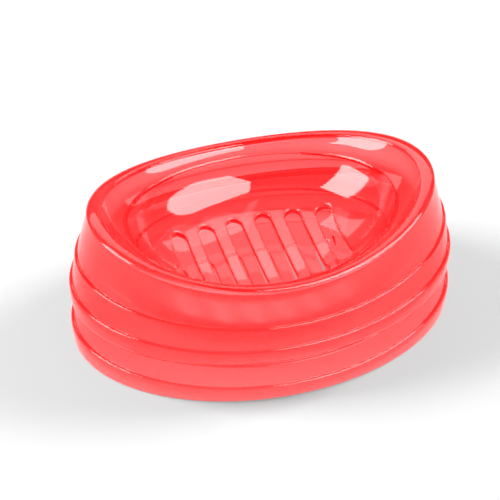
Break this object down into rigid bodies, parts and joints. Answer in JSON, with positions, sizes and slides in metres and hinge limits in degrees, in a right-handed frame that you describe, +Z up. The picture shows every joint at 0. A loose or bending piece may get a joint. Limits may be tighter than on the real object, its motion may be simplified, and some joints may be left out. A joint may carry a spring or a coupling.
{
  "type": "soap dish",
  "caption": "Oval soap dish of clear tinted plastic: stepped outer wall, rounded rim that rises at both ends, bowl with a slotted drain floor, nested on its twin.",
  "frame": {"origin": "on the table, under the middle of the pair", "axes": "+X along the dish's length, +Y across it, +Z up; the picture is taken from -Y, a little to the left"},
  "size_m": [0.141, 0.0972, 0.0555],
  "materials": {
    "coral_plastic": "glossy, see-through coral red"
  },
  "bodies": {
    "lower_dish": {"lower_dish": "coral_plastic"},
    "upper_dish": {"upper_dish": "coral_plastic"}
  },
  "joints": [
    {"name": "lift", "type": "slide", "parent": "lower_dish", "child": "upper_dish", "axis": [0, 0, 1], "range_m": [0, 0.04]}
  ]
}
